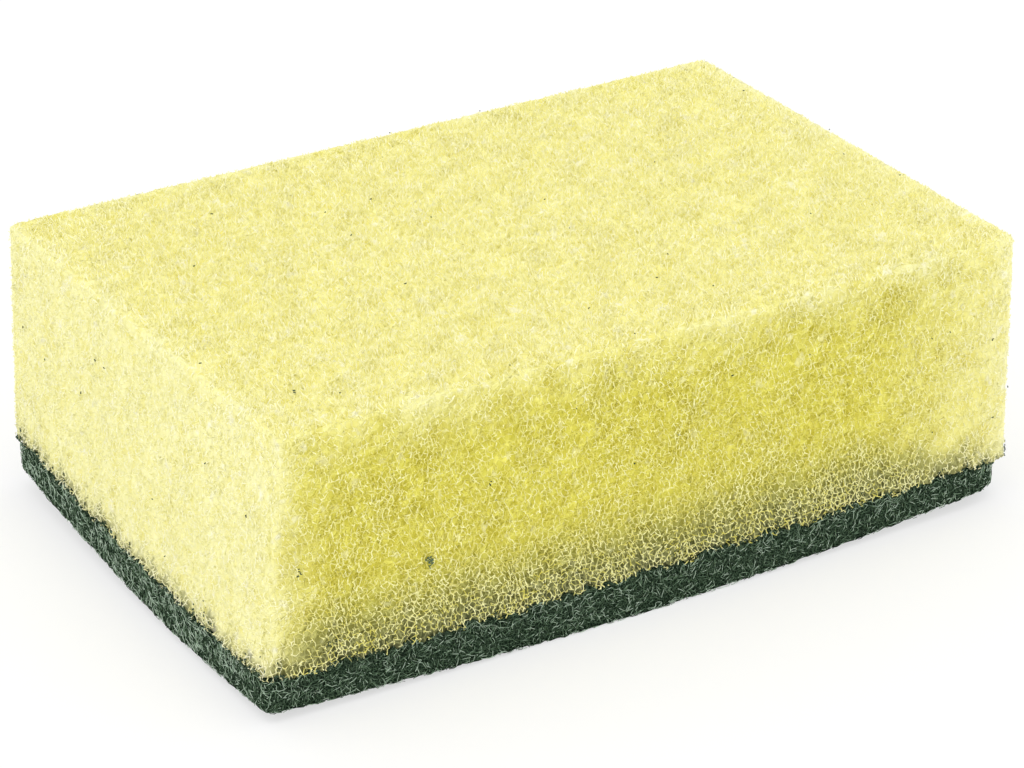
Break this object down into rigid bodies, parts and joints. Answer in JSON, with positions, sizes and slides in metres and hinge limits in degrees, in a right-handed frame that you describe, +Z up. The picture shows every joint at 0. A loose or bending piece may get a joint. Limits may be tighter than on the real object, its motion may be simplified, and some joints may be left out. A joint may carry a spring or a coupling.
{
  "type": "cleaning sponge",
  "caption": "Rectangular two-layer cleaning sponge: a soft open-cell foam block bonded to a thin abrasive scouring pad, for wiping with one face and scrubbing with the other.",
  "frame": {"origin": "middle of the flat underside of the scouring pad, on the surface that the sponge lies on", "axes": "+X along the length, +Y across the width towards the back, +Z up through the pad into the foam"},
  "size_m": [0.091, 0.0616, 0.031],
  "materials": {
    "foam": "matte pale yellow open-cell polyurethane foam, slightly translucent",
    "scouring_web": "dark green non-woven fibre web bonded with abrasive resin"
  },
  "bodies": {
    "root": {"foam_block": "foam", "scouring_pad": "scouring_web"}
  },
  "joints": []
}
